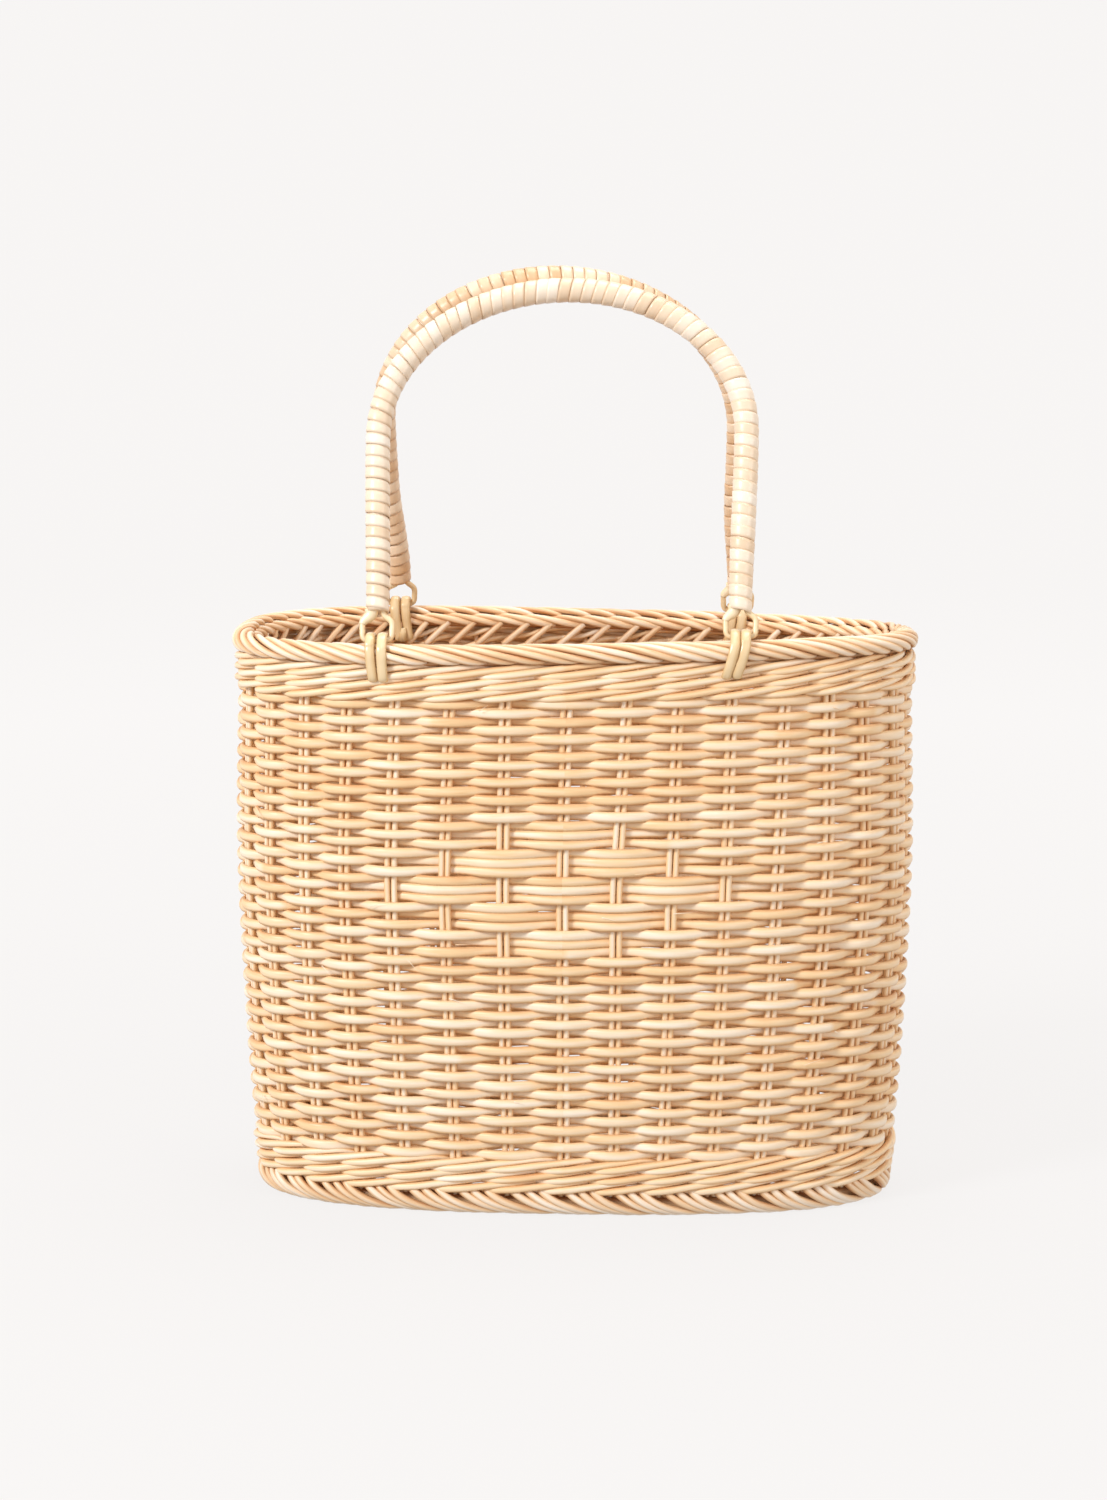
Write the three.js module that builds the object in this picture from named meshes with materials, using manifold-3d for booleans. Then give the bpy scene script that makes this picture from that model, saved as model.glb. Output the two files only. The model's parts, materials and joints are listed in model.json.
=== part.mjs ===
// Oval wicker basket bag with two wrapped swing handles.
// Millimetres, +Z up, front towards -Y, origin on the ground under the middle of the basket.

import * as THREE from 'three';
import { mergeVertices } from 'three/addons/utils/BufferGeometryUtils.js';
import Module from 'manifold-3d';

// Basket outline, taken at the middle of the woven wall
const basketHeight = 269;
const rimHalfLength = 154;
const rimHalfDepth = 66;
const ovalPower = 2.6;
const rimTwist = 2.8; // how far the hand-made rim rises front right and back left, and drops at the others
const sideProfile = [ // shares of the height, of the rim's half length and of its half depth
  { up: 0, length: 0.947, depth: 0.83 },
  { up: 0.11, length: 0.973, depth: 0.9 },
  { up: 0.29, length: 0.995, depth: 0.965 },
  { up: 0.6, length: 1.014, depth: 1.03 },
  { up: 0.87, length: 1.004, depth: 1.01 },
  { up: 1, length: 1, depth: 1 },
];

// Rods and strands
const clearance = 0.3;
const stakeCount = 34; // pairs of upright rods
const stakeCrowding = 0.18; // the pairs stand this share closer round the two ends
const frontStakeX = -3.4; // the pair at the middle of the front stands a little to the left
const stakeThickness = 2.6;
const weaverThickness = 2.6;
const weaverRows = 52;

// Foot, base, wale bands and border
const footHeight = 10.9;
const footThickness = 11;
const footFlat = 2.4; // how much of the rope's underside is pressed flat
const baseThickness = 5;
const waleGap = 0.6;
const waleThickness = 8.8;
const waleGroove = 1.2;
const lowerWaleRows = 3;
const lowerWaleRowHeight = 5.15;
const upperWaleRows = 3;
const upperWaleRowHeight = 5;
const rowsUnderTie = 1;
const borderHeight = 9.6;
const borderThickness = 12;
const ropeTurns = 4; // full turns of the border's rods round the oval
const ropePoints = 10;
const ropeGroove = 0.12; // share of the rope's radius

// Diamond of long floats on the front
const diamondRowsBelow = 23;
const floatRows = 3;
const diamondReach = 2; // stakes from the middle float to the outermost
const floatLift = 0.4;

// Cane ties that hold the handles' eyes to the rim
const eyeHalfSpan = 82;
const handleShift = -5; // the handles sit a little left of the middle
const tieSlant = 2.4; // a tie enters the wall this much nearer to the middle than its handle's eye
const tieWidth = 9.2;
const tieThickness = 1.2;
const tieGroove = 0.5;

// Handles
const handleThickness = 11.6;
const archHalfWidth = 84;
const legTop = 95;
const frontHandleHeight = 163;
const backHandleHeight = 168;
const backHandleSway = 3; // the back handle has sprung this far to the left above its eyes
const eyeThickness = 2.7;
const eyeOut = -1.5; // an eye's bar lies this far out from the middle of the rim
const eyeHalfWidth = 6.7;
const eyeLength = 12.8;
const eyeNeck = 3.2; // half the distance between an eye's two ends
const archSteps = 40;
const archSides = 10;
const archShare = 0.6; // share of each half of a handle that is the bent top
const eyeSteps = 18;
const eyeSides = 6;

// Heights that follow
const lowerWaleBottom = footHeight + waleGap;
const weaveBottom = lowerWaleBottom + lowerWaleRows * lowerWaleRowHeight + clearance;
const borderBottom = basketHeight - borderHeight;
const upperWaleTop = borderBottom - clearance;
const weaveTop = upperWaleTop - upperWaleRows * upperWaleRowHeight - clearance;
const weaverPitch = (weaveTop - weaveBottom) / weaverRows;
const tieSlotHeight = upperWaleTop - rowsUnderTie * upperWaleRowHeight;

const ringSteps = 2 * stakeCount; // the bands have a section at each pair and between them
const arcSamples = 2400;

const materials = {
  weave: new THREE.MeshStandardMaterial({ color: 0xe6bd85, roughness: 0.55, metalness: 0 }),
  border: new THREE.MeshStandardMaterial({ color: 0xdfb27a, roughness: 0.55, metalness: 0 }),
  tie: new THREE.MeshStandardMaterial({ color: 0xdcb87f, roughness: 0.35, metalness: 0 }),
  wrap: new THREE.MeshStandardMaterial({ color: 0xf0dcbc, roughness: 0.4, metalness: 0 }),
  eye: new THREE.MeshStandardMaterial({ color: 0xdfc18c, roughness: 0.4, metalness: 0 }),
};

// The side profile as a smooth curve: half length and half depth of the oval at a height
const profileCurve = (column) => {
  const points = sideProfile.map((row) => new THREE.Vector2(row.up, row[column]));
  const samples = new THREE.SplineCurve(points).getPoints(200);
  return (z) => {
    const up = THREE.MathUtils.clamp(z / basketHeight, 0, 1);
    const next = Math.max(1, samples.findIndex((s) => s.x >= up));
    const [a, b] = [samples[next - 1], samples[next]];
    return THREE.MathUtils.mapLinear(up, a.x, b.x, a.y, b.y);
  };
};
const lengthShare = profileCurve('length');
const depthShare = profileCurve('depth');

// Unit oval measured along its edge, from the front middle towards +X
const signedPower = (value, power) => Math.sign(value) * Math.abs(value) ** power;
const ovalEdge = (() => {
  const points = [];
  let along = 0;
  for (let i = 0; i <= arcSamples; i += 1) {
    const angle = -Math.PI / 2 + (i / arcSamples) * 2 * Math.PI;
    const x = signedPower(Math.cos(angle), 2 / ovalPower);
    const y = signedPower(Math.sin(angle), 2 / ovalPower);
    if (i > 0) {
      const last = points[i - 1];
      along += Math.hypot((x - last.x) * rimHalfLength, (y - last.y) * rimHalfDepth);
    }
    points.push({ x, y, along });
  }
  return points;
})();

// Share of the way round at which a ring's step lies, counted from the pair at the front
const firstShare = frontStakeX / ((1 + stakeCrowding) * ovalEdge[arcSamples].along);
const stepShare = (i) => firstShare + i / ringSteps;

// Point of the unit oval at a share of the way round, with the stakes spread wider on the long sides
function ovalPoint(share) {
  const spread = share + (stakeCrowding / (4 * Math.PI)) * Math.sin(4 * Math.PI * share);
  const turn = spread - Math.floor(spread);
  const target = turn * ovalEdge[arcSamples].along;
  let low = 0;
  let high = arcSamples;
  while (high - low > 1) {
    const middle = (low + high) >> 1;
    if (ovalEdge[middle].along <= target) low = middle;
    else high = middle;
  }
  const [a, b] = [ovalEdge[low], ovalEdge[high]];
  const mix = (target - a.along) / (b.along - a.along);
  return { x: THREE.MathUtils.lerp(a.x, b.x, mix), y: THREE.MathUtils.lerp(a.y, b.y, mix) };
}

// The rim's hand-made twist, growing from nothing at the ground
const twistLift = (x, y, z) => (-rimTwist * x * y * z) / (rimHalfLength * rimHalfDepth * basketHeight);

// Outward direction of the wall at a point of the unit oval
function wallNormal(unit, halfLength, halfDepth) {
  const nx = signedPower(unit.x, ovalPower - 1) / halfLength;
  const ny = signedPower(unit.y, ovalPower - 1) / halfDepth;
  return new THREE.Vector3(nx, ny, 0).normalize();
}

// The middle of the wall at a height
function wallMiddle(unit, z) {
  const x = unit.x * rimHalfLength * lengthShare(z);
  const y = unit.y * rimHalfDepth * depthShare(z);
  return new THREE.Vector3(x, y, z);
}

// A point of the wall: share of the way round, distance out from the wall's middle, height
function wallPoint(share, out, z) {
  const unit = ovalPoint(share);
  const point = wallMiddle(unit, z);
  const normal = wallNormal(unit, rimHalfLength * lengthShare(z), rimHalfDepth * depthShare(z));
  point.addScaledVector(normal, out);
  point.z += twistLift(point.x, point.y, z);
  return point;
}

function meshOf(name, geometry, material) {
  const mesh = new THREE.Mesh(geometry, material);
  mesh.name = name;
  return mesh;
}

// Closed skin through sections that follow each other in a loop
function loopSkin(sections) {
  const points = sections.flat();
  const width = sections[0].length;
  const at = (i, k) => (i % sections.length) * width + (k % width);
  const faces = [];
  for (let i = 0; i < sections.length; i += 1) {
    for (let k = 0; k < width; k += 1) {
      faces.push(at(i, k), at(i + 1, k), at(i + 1, k + 1), at(i, k), at(i + 1, k + 1), at(i, k + 1));
    }
  }
  const volume = faces.reduce((sum, _, f) => {
    if (f % 3) return sum;
    const [a, b, c] = [points[faces[f]], points[faces[f + 1]], points[faces[f + 2]]];
    return sum + a.dot(b.clone().cross(c));
  }, 0);
  if (volume < 0) faces.reverse();
  const geometry = new THREE.BufferGeometry().setFromPoints(points);
  geometry.setIndex(faces);
  return geometry;
}

// A band round the whole oval. sectionAt gives the section's corners as [out, z] at step i
function ovalBand(sectionAt) {
  const sections = [];
  for (let i = 0; i < ringSteps; i += 1) {
    sections.push(sectionAt(i).map(([out, z]) => wallPoint(stepShare(i), out, z)));
  }
  return loopSkin(sections);
}

// Rope of rolled rods: a round section with grooves that turns as it goes
function ropeBand(thickness, bottom, top, floor) {
  const halfHeight = (top - bottom) / 2;
  const middle = (top + bottom) / 2;
  return ovalBand((i) => {
    const section = [];
    for (let k = 0; k < ropePoints; k += 1) {
      const angle = (k / ropePoints - (ropeTurns * i) / ringSteps) * 2 * Math.PI;
      const reach = k % 2 ? 1 - ropeGroove : 1;
      const z = middle + halfHeight * reach * Math.sin(angle);
      section.push([(thickness / 2) * reach * Math.cos(angle), Math.max(z, floor)]);
    }
    return section;
  });
}

// Wale band: one bulge for each row of twined rods, on both faces
function waleBand(bottom, rows, rowHeight) {
  const face = [];
  for (let k = 0; k <= 2 * rows; k += 1) {
    face.push([waleThickness / 2 - (k % 2 ? 0 : waleGroove), bottom + (k / 2) * rowHeight]);
  }
  const inside = [[-waleThickness / 2, bottom + rows * rowHeight], [-waleThickness / 2, bottom]];
  return ovalBand(() => [...face, ...inside]);
}

// Woven side: upright ribs over the stakes, and the diamond of floats on the front
function sideWeave() {
  const overStake = stakeThickness / 2 + weaverThickness;
  const bareStake = stakeThickness / 2;
  const betweenStakes = weaverThickness * 0.7;
  const edge = 0.1 * weaverPitch;
  const diamondBottom = weaveBottom + diamondRowsBelow * weaverPitch;
  const floatHeight = floatRows * weaverPitch;
  const plainLevels = [weaveBottom, weaveBottom + 0.12 * (weaveTop - weaveBottom),
    weaveBottom + 0.28 * (weaveTop - weaveBottom)];
  const levels = plainLevels.map((z) => ({ z, row: null }));
  for (let row = -diamondReach; row <= diamondReach; row += 1) {
    const bottom = diamondBottom + (row + diamondReach) * floatHeight;
    levels.push({ z: bottom + edge, row }, { z: bottom + floatHeight - edge, row });
  }
  levels.push({ z: weaveTop, row: null });
  const stakeOut = (stake, row) => {
    if (row === null || Math.abs(stake) > diamondReach + 1 - Math.abs(row)) return overStake;
    return (stake - row) % 2 ? bareStake : overStake + floatLift;
  };
  return ovalBand((i) => {
    const stake = i > stakeCount ? i / 2 - stakeCount : i / 2;
    const onStake = i % 2 === 0;
    const outside = levels.map(({ z, row }) => [onStake ? stakeOut(stake, row) : betweenStakes, z]);
    const insideOut = onStake ? -overStake : -betweenStakes;
    const inside = [...plainLevels, weaveTop].reverse().map((z) => [insideOut, z]);
    return [...outside, ...inside];
  });
}

// Flat woven base, let in above the foot and inside the lower wale
function basePlate() {
  const bottom = footHeight + clearance;
  const shape = new THREE.Shape();
  for (let i = 0; i < ringSteps; i += 1) {
    const point = wallPoint(stepShare(i), -waleThickness / 2 - clearance, bottom);
    if (i === 0) shape.moveTo(point.x, point.y);
    else shape.lineTo(point.x, point.y);
  }
  const geometry = new THREE.ExtrudeGeometry(shape, { depth: baseThickness, bevelEnabled: false });
  return geometry.translate(0, 0, bottom);
}

// The two seats of a handle on the rim, left and right. Each has its end of the handle, its point of
// the oval, its lift by the rim's twist, the line of the eyes, the way out across it and the wall's line.
function handleSeats(side) {
  const seats = [-1, 1].map((end) => {
    const unitX = (handleShift + end * eyeHalfSpan) / rimHalfLength;
    const unit = { x: unitX, y: side * (1 - Math.abs(unitX) ** ovalPower) ** (1 / ovalPower) };
    const place = wallMiddle(unit, basketHeight);
    const lift = twistLift(place.x, place.y, basketHeight);
    const normal = wallNormal(unit, rimHalfLength, rimHalfDepth);
    return { end, unit, place, lift, wall: new THREE.Vector3(-normal.y, normal.x, 0) };
  });
  const bar = seats[1].place.clone().sub(seats[0].place).normalize();
  const out = new THREE.Vector3(-side * bar.y, side * bar.x, 0);
  for (const seat of seats) {
    seat.wall.divideScalar(seat.wall.dot(bar));
    Object.assign(seat, { bar, out });
  }
  return seats;
}

// Middle of a tie at a height: over the eye at the top, slanting towards the middle below the crest
function tieMiddle(seat, z) {
  const slant = tieSlant * Math.max(0, (basketHeight - z) / (basketHeight - tieSlotHeight));
  return wallMiddle(seat.unit, z).addScaledVector(seat.wall, -seat.end * slant);
}

// Path of a tie's cane round the rim, as [out, z] corners
function tiePath() {
  const half = tieThickness / 2;
  const atBorder = borderThickness / 2 + 2 * clearance + half;
  const atWale = waleThickness / 2 + 2 * clearance + half;
  const bend = tieThickness;
  const top = basketHeight + eyeThickness + 3 * clearance + half;
  const side = [[atWale - bend, tieSlotHeight], [atWale - 0.3 * bend, tieSlotHeight + 0.3 * bend],
    [atWale, tieSlotHeight + bend], [atWale, borderBottom - bend],
    [0.97 * atBorder, basketHeight - 0.75 * borderHeight], [atBorder, basketHeight - 0.35 * borderHeight],
    [0.88 * atBorder, basketHeight + 0.3 * eyeThickness]];
  const inside = side.map(([out, z]) => [-out, z]).reverse();
  return [...side, [eyeOut + eyeThickness, top], [eyeOut - eyeThickness, top], ...inside];
}

// Cane tie: two turns of cane side by side round the border and the top wale rows
function tieLoop(seat) {
  const half = tieThickness / 2;
  const section = [[-0.5, -half], [-0.5, half - tieGroove / 2], [-0.25, half], [0, half - tieGroove],
    [0.25, half], [0.5, half - tieGroove / 2], [0.5, -half]];
  const path = tiePath().map(([out, z]) => new THREE.Vector2(out, z));
  const sections = path.map((corner, i) => {
    const before = corner.clone().sub(path[(i + path.length - 1) % path.length]).normalize();
    const after = path[(i + 1) % path.length].clone().sub(corner).normalize();
    const heading = before.clone().add(after).normalize();
    const mitre = 1 / heading.dot(before);
    return section.map(([across, thick]) => {
      const place = tieMiddle(seat, corner.y);
      place.addScaledVector(seat.out, corner.x + heading.y * mitre * thick);
      place.addScaledVector(corner.y > basketHeight ? seat.bar : seat.wall, across * tieWidth);
      place.z += seat.lift - heading.x * mitre * thick;
      return place;
    });
  });
  return loopSkin(sections);
}

// Solid for a boolean cut, and back to a geometry
function solidOf(wasm, geometry) {
  const bare = geometry.clone();
  bare.deleteAttribute('normal');
  bare.deleteAttribute('uv');
  const merged = mergeVertices(bare, 1e-4);
  return new wasm.Manifold(new wasm.Mesh({
    numProp: 3,
    vertProperties: new Float32Array(merged.attributes.position.array),
    triVerts: new Uint32Array(merged.index.array),
  }));
}

function geometryOf(solid) {
  const mesh = solid.getMesh();
  const geometry = new THREE.BufferGeometry();
  geometry.setAttribute('position', new THREE.BufferAttribute(mesh.vertProperties, mesh.numProp));
  geometry.setIndex(new THREE.BufferAttribute(mesh.triVerts, 1));
  return geometry;
}

// Upper wale with a slot where each tie passes between its rows
function slottedWale(wasm, seats) {
  const bottom = upperWaleTop - upperWaleRows * upperWaleRowHeight;
  let solid = solidOf(wasm, waleBand(bottom, upperWaleRows, upperWaleRowHeight));
  for (const seat of seats) {
    const slotHeight = 2 * tieThickness + 3 * clearance;
    const slot = new THREE.BoxGeometry(tieWidth + 4 * clearance, 3 * waleThickness, slotHeight);
    slot.translate(0, 0, tieThickness / 2);
    slot.rotateZ(Math.atan2(seat.bar.y, seat.bar.x));
    slot.translate(...tieMiddle(seat, tieSlotHeight).toArray());
    slot.translate(0, 0, seat.lift);
    solid = solid.subtract(solidOf(wasm, slot));
  }
  return geometryOf(solid);
}

function roundSection(thickness, sides) {
  const shape = new THREE.Shape();
  for (let k = 0; k < sides; k += 1) {
    const angle = ((k + 0.5) / sides) * 2 * Math.PI;
    const corner = [(thickness / 2) * Math.cos(angle), (thickness / 2) * Math.sin(angle)];
    if (k === 0) shape.moveTo(...corner);
    else shape.lineTo(...corner);
  }
  return shape;
}

// Middle line of a wrapped handle, in its own plane: two legs that toe in, and a bent top. The eyes
// slope with the rim, so the line moves sideways as it rises and the legs stand upright.
class HandleArch extends THREE.Curve {
  constructor(height, sideways, sway) {
    super();
    this.height = height;
    this.sideways = sideways;
    this.sway = sway;
  }

  getPoint(t, target = new THREE.Vector3()) {
    const wrapStart = eyeLength + clearance;
    const side = Math.sign(t - 0.5);
    const reach = Math.abs(2 * t - 1);
    const down = Math.max(0, (reach - archShare) / (1 - archShare));
    if (down > 0) {
      const toeIn = (archHalfWidth - eyeHalfSpan) * THREE.MathUtils.smoothstep(down, 0, 1);
      target.set(side * (archHalfWidth - toeIn), 0, THREE.MathUtils.lerp(legTop, wrapStart, down));
    } else {
      const angle = ((reach / archShare) * Math.PI) / 2;
      const rise = (this.height - legTop) * Math.cos(angle);
      target.set(side * archHalfWidth * Math.sin(angle), 0, legTop + rise);
    }
    target.x += this.sideways * (target.z - wrapStart);
    target.x -= this.sway * THREE.MathUtils.smoothstep(target.z, wrapStart, wrapStart + 50);
    return target;
  }
}

function handleWrap(height, sideways, sway) {
  return new THREE.ExtrudeGeometry(roundSection(handleThickness, archSides), {
    steps: archSteps, bevelEnabled: false, extrudePath: new HandleArch(height, sideways, sway),
  });
}

// Eye: the bent end of a handle's cane, a ring that the tie holds down on the rim
function handleEye(end) {
  const half = [[eyeNeck, eyeLength], [eyeNeck, 0.88 * eyeLength], [0.96 * eyeHalfWidth, 0.62 * eyeLength],
    [eyeHalfWidth, 0.3 * eyeLength], [0.97 * eyeHalfWidth, 0.5 * eyeThickness], [0.74 * eyeHalfWidth, 0]];
  const corners = [...half, [0, 0], ...half.map(([x, z]) => [-x, z]).reverse()];
  const points = corners.map(([x, z]) => new THREE.Vector3(end * eyeHalfSpan + x, 0, z));
  return new THREE.ExtrudeGeometry(roundSection(eyeThickness, eyeSides), {
    steps: eyeSteps, bevelEnabled: false, extrudePath: new THREE.CatmullRomCurve3(points),
  });
}

// One handle with its two eyes, leaning in over the basket until the handles meet
function handle(label, side, height) {
  const [left, right] = handleSeats(side);
  const span = right.place.clone().sub(left.place);
  span.z = right.lift - left.lift;
  const pivot = left.place.clone().add(right.place).multiplyScalar(0.5);
  pivot.addScaledVector(left.out, eyeOut);
  pivot.z += (left.lift + right.lift) / 2 + clearance + eyeThickness / 2;
  const rise = backHandleHeight - frontHandleHeight;
  const topOut = Math.sqrt(Math.max(0, (handleThickness + 2 * clearance) ** 2 - rise ** 2)) / 2;
  const lean = Math.asin((Math.abs(pivot.y) - topOut) / height);
  const group = new THREE.Group();
  group.position.copy(pivot);
  group.rotation.set(side * lean, -Math.atan2(span.z, span.x), Math.atan2(span.y, span.x), 'ZYX');
  const sway = side > 0 ? backHandleSway : 0;
  const wrap = handleWrap(height, span.z / span.x, sway);
  group.add(meshOf(`handle_${label}_wrap`, wrap, materials.wrap));
  group.add(meshOf(`handle_${label}_eye_left`, handleEye(-1), materials.eye));
  group.add(meshOf(`handle_${label}_eye_right`, handleEye(1), materials.eye));
  return group;
}

const wasm = await Module();
wasm.setup();

const [frontLeft, frontRight] = handleSeats(-1);
const [backLeft, backRight] = handleSeats(1);
const ties = [
  { name: 'tie_front_left', seat: frontLeft },
  { name: 'tie_front_right', seat: frontRight },
  { name: 'tie_back_left', seat: backLeft },
  { name: 'tie_back_right', seat: backRight },
];

const bag = new THREE.Group();
const footRope = ropeBand(footThickness, -footFlat, footHeight, 0);
const lowerWale = waleBand(lowerWaleBottom, lowerWaleRows, lowerWaleRowHeight);
bag.add(meshOf('foot_border', footRope, materials.border));
bag.add(meshOf('base', basePlate(), materials.weave));
bag.add(meshOf('lower_wale', lowerWale, materials.weave));
bag.add(meshOf('side_weave', sideWeave(), materials.weave));
bag.add(meshOf('upper_wale', slottedWale(wasm, ties.map((tie) => tie.seat)), materials.weave));
bag.add(meshOf('rim_border', ropeBand(borderThickness, borderBottom, basketHeight, 0), materials.border));
for (const tie of ties) bag.add(meshOf(tie.name, tieLoop(tie.seat), materials.tie));
bag.add(handle('front', -1, frontHandleHeight));
bag.add(handle('back', 1, backHandleHeight));

export default bag;
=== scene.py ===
import json
import math

import bpy
import numpy as np
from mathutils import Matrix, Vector


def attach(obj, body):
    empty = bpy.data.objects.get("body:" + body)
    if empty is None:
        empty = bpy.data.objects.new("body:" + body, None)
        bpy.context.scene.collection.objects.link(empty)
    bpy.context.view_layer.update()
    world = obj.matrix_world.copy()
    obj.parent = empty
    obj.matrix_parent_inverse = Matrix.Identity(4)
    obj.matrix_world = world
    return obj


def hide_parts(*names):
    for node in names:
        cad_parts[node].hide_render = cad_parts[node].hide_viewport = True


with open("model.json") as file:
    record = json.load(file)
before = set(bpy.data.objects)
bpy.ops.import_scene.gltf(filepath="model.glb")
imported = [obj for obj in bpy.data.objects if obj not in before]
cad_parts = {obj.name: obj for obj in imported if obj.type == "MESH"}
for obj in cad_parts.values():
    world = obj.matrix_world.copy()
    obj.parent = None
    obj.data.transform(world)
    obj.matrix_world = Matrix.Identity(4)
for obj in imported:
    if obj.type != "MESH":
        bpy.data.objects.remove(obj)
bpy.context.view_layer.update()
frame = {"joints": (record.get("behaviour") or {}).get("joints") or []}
MM = 0.001


# Stage: a round bowl of pale paper that glows evenly, a soft strong light from the left, weaker ones from
# above and from the right, a warm room, and the camera where the photograph was taken from. The paper
# glows a little less near the bag, where the lights fall on it too.
def deselect():
    if bpy.context.mode != "OBJECT":
        bpy.ops.object.mode_set(mode="OBJECT")
    bpy.ops.object.select_all(action="DESELECT")


class Socket:
    """A shader value. Sums, products and cosines of it add Math nodes."""

    def __init__(self, finish, link):
        self.finish, self.link = finish, link

    def _math(self, operation, *values):
        return self.finish.node("ShaderNodeMath", {"operation": operation}, dict(enumerate(values)))

    def __add__(self, other):
        return self._math("ADD", self, other)

    def __radd__(self, other):
        return self._math("ADD", other, self)

    def __sub__(self, other):
        return self._math("SUBTRACT", self, other)

    def __mul__(self, other):
        return self._math("MULTIPLY", self, other)

    def cos(self):
        return self._math("COSINE", self)


class Finish:
    """A material, built node by node."""

    def __init__(self, name):
        self.material = bpy.data.materials.new(name)
        self.material.use_nodes = True
        self.tree = self.material.node_tree
        self.shader = next(n for n in self.tree.nodes if n.type == "BSDF_PRINCIPLED")

    def _feed(self, socket, value):
        if isinstance(value, Socket):
            self.tree.links.new(value.link, socket)
        else:
            socket.default_value = value

    def node(self, kind, settings=None, sockets=None, out=0):
        made = self.tree.nodes.new(kind)
        for key, value in (settings or {}).items():
            if key == "stops":
                ramp = made.color_ramp
                while len(ramp.elements) < len(value):
                    ramp.elements.new(0.5)
                for element, (place, colour) in zip(ramp.elements, value):
                    element.position, element.color = place, (*colour, 1.0)
            else:
                setattr(made, key, value)
        for key, value in (sockets or {}).items():
            self._feed(made.inputs[key], value)
        return Socket(self, made.outputs[out])

    def set(self, **values):
        for key, value in values.items():
            self._feed(self.shader.inputs[key.replace("_", " ").title()], value)


def srgb(*colour):
    """An 8-bit sRGB colour as linear light."""
    shares = [c / 255 for c in colour]
    return tuple(c / 12.92 if c <= 0.04045 else ((c + 0.055) / 1.055) ** 2.4 for c in shares)


paper = Finish("glowing_paper")
paper_place = paper.node("ShaderNodeTexCoord", out=3)
paper_reach = paper.node("ShaderNodeVectorMath", {"operation": "LENGTH"}, {0: paper_place}, out=1)
glow_stops = [(0.1, srgb(235, 233, 232)), (0.6, srgb(241, 239, 238))]
glow = paper.node("ShaderNodeValToRGB", {"stops": glow_stops}, {0: paper_reach * 0.4})
paper.set(base_color=(0.07, 0.07, 0.07, 1.0), roughness=1.0, emission_color=glow)
paper.shader.inputs["Emission Strength"].default_value = 1.0
paper.shader.inputs["Specular IOR Level"].default_value = 0.0

deselect()
bpy.ops.mesh.primitive_circle_add(vertices=96, radius=4.0, fill_type="NGON", location=(0, 0, 0))
sweep = bpy.context.object
sweep.name = "paper_bowl"
bpy.ops.object.mode_set(mode="EDIT")
bpy.ops.mesh.select_all(action="DESELECT")
bpy.ops.mesh.select_non_manifold()
bpy.ops.mesh.extrude_region_move(TRANSFORM_OT_translate={"value": (0, 0, 5.0)})
bpy.ops.object.mode_set(mode="OBJECT")
curve_up = sweep.modifiers.new("bend", "BEVEL")
curve_up.width, curve_up.segments, curve_up.limit_method = 1.4, 16, "ANGLE"
bpy.ops.object.modifier_apply(modifier="bend")
bpy.ops.object.shade_smooth()
sweep.data.materials.append(paper.material)
sweep.visible_diffuse = False
sweep.visible_shadow = False


def soft_light(name, place, aim, size, watts, colour):
    lamp = bpy.data.lights.new(name, "AREA")
    lamp.shape, lamp.size, lamp.energy, lamp.color = "DISK", size, watts, colour
    stand = bpy.data.objects.new(name, lamp)
    bpy.context.scene.collection.objects.link(stand)
    stand.location = place
    stand.rotation_euler = (Vector(aim) - Vector(place)).to_track_quat("-Z", "Y").to_euler()


soft_light("key_light", (-1.8, -1.5, 1.5), (0, 0, 0.2), 0.8, 56, (0.97, 0.985, 1.0))
soft_light("top_light", (0.2, 0.3, 2.3), (0, 0, 0.2), 1.4, 27, (1.0, 0.98, 0.95))
soft_light("fill_light", (1.8, -1.3, 0.9), (0, 0, 0.2), 1.2, 15, (1.0, 0.94, 0.88))

sky = bpy.data.worlds.new("warm_room")
sky.use_nodes = True
sky.node_tree.nodes["Background"].inputs["Color"].default_value = (1.0, 0.945, 0.89, 1.0)
sky.node_tree.nodes["Background"].inputs["Strength"].default_value = 0.55
bpy.context.scene.world = sky
bpy.context.scene.view_settings.view_transform = "Standard"

eye = bpy.data.cameras.new("camera")
eye.lens, eye.sensor_width, eye.clip_start = 74.74, 36.0, 0.01
stand = bpy.data.objects.new("camera", eye)
bpy.context.scene.collection.objects.link(stand)
stand.location = (0.0544, -1.4490, 0.4537)
stand.rotation_euler = (math.radians(80.445), 0.0, math.radians(2.536))
bpy.context.scene.camera = stand


# Uprights: 34 pairs of peeled rods, 2.8 mm thick, that stand in an oval and crowd a little at its ends.
# Everything else is woven on them, so the basket's oval and side profile are set out here, in mm.
RIM_HALF_LENGTH, RIM_HALF_DEPTH, BODY_HEIGHT, OVAL_POWER, RIM_TWIST = 154.0, 66.0, 269.0, 2.6, 2.8
SIDE_UP = np.array([0, 0.11, 0.29, 0.6, 0.87, 1])
SIDE_LENGTH = np.array([0.947, 0.973, 0.995, 1.014, 1.004, 1])
SIDE_DEPTH = np.array([0.83, 0.9, 0.965, 1.03, 1.01, 1])
UPRIGHTS, CROWDING, FRONT_UPRIGHT_X = 34, 0.18, -3.4
ROD, UPRIGHT_APART = 1.4, 3.05
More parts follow.
